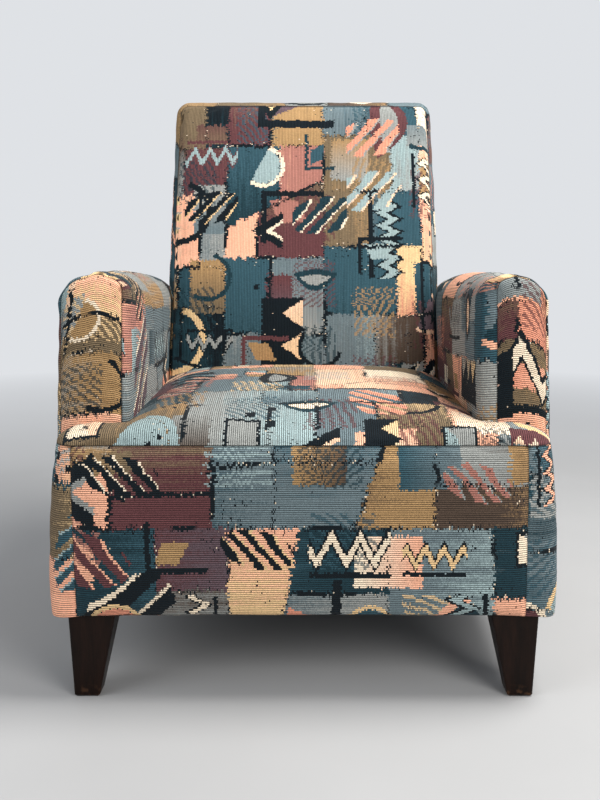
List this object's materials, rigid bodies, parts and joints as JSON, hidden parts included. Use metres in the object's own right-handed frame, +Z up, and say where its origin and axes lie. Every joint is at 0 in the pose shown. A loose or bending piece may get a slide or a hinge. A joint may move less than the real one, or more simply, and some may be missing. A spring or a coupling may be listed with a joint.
{
  "type": "upholstered armchair",
  "caption": "Upholstered armchair with a T-shaped crowned seat, rounded block arms, a raked boxed back and tapered wooden legs, covered in ribbed patchwork tapestry.",
  "frame": {"origin": "on the floor, under the middle of the chair's overall box", "axes": "+Z up, -Y towards the front of the seat, +X towards the arm on the right as seen from the front"},
  "size_m": [0.76, 0.8, 0.965],
  "materials": {
    "woven_tapestry": "matte ribbed jacquard weave in many colours",
    "padding_foam": "matte",
    "frame_timber": "raw sawn",
    "dark_leg_wood": "satin dark stain",
    "bolt_steel": "zinc plated",
    "spring_steel": "oiled wire",
    "jute": "coarse woven",
    "black_dust_cloth": "matte non-woven"
  },
  "bodies": {
    "root": {"arm_cover_left": "woven_tapestry", "arm_cover_right": "woven_tapestry", "arm_front_post_left": "frame_timber", "arm_front_post_right": "frame_timber", "arm_padding_left": "padding_foam", "arm_padding_right": "padding_foam", "arm_rear_post_left": "frame_timber", "arm_rear_post_right": "frame_timber", "arm_tack_rail_left": "frame_timber", "arm_tack_rail_right": "frame_timber", "arm_top_rail_left": "frame_timber", "arm_top_rail_right": "frame_timber", "back_cover": "woven_tapestry", "back_foam": "padding_foam", "back_lower_rail": "frame_timber", "back_middle_rail": "frame_timber", "back_stile_left": "frame_timber", "back_stile_right": "frame_timber", "back_strap_1": "jute", "back_strap_2": "jute", "back_strap_3": "jute", "back_strap_4": "jute", "back_top_rail": "frame_timber", "corner_block_front_left": "frame_timber", "corner_block_front_right": "frame_timber", "corner_block_rear_left": "frame_timber", "corner_block_rear_right": "frame_timber", "dust_cover": "black_dust_cloth", "front_band_cover": "woven_tapestry", "front_band_padding": "padding_foam", "front_edge_roll": "jute", "front_rail": "frame_timber", "leg_bolt_front_left": "bolt_steel", "leg_bolt_front_right": "bolt_steel", "leg_bolt_rear_left": "bolt_steel", "leg_bolt_rear_right": "bolt_steel", "leg_front_left": "dark_leg_wood", "leg_front_right": "dark_leg_wood", "leg_rear_left": "dark_leg_wood", "leg_rear_right": "dark_leg_wood", "outside_back": "woven_tapestry", "rear_rail": "frame_timber", "rear_seat_rail": "frame_timber", "seat_cover": "woven_tapestry", "seat_foam": "padding_foam", "seat_insulator": "jute", "seat_spring_1": "spring_steel", "seat_spring_2": "spring_steel", "seat_spring_3": "spring_steel", "seat_spring_4": "spring_steel", "seat_spring_5": "spring_steel", "side_rail_left": "frame_timber", "side_rail_right": "frame_timber"}
  },
  "joints": []
}
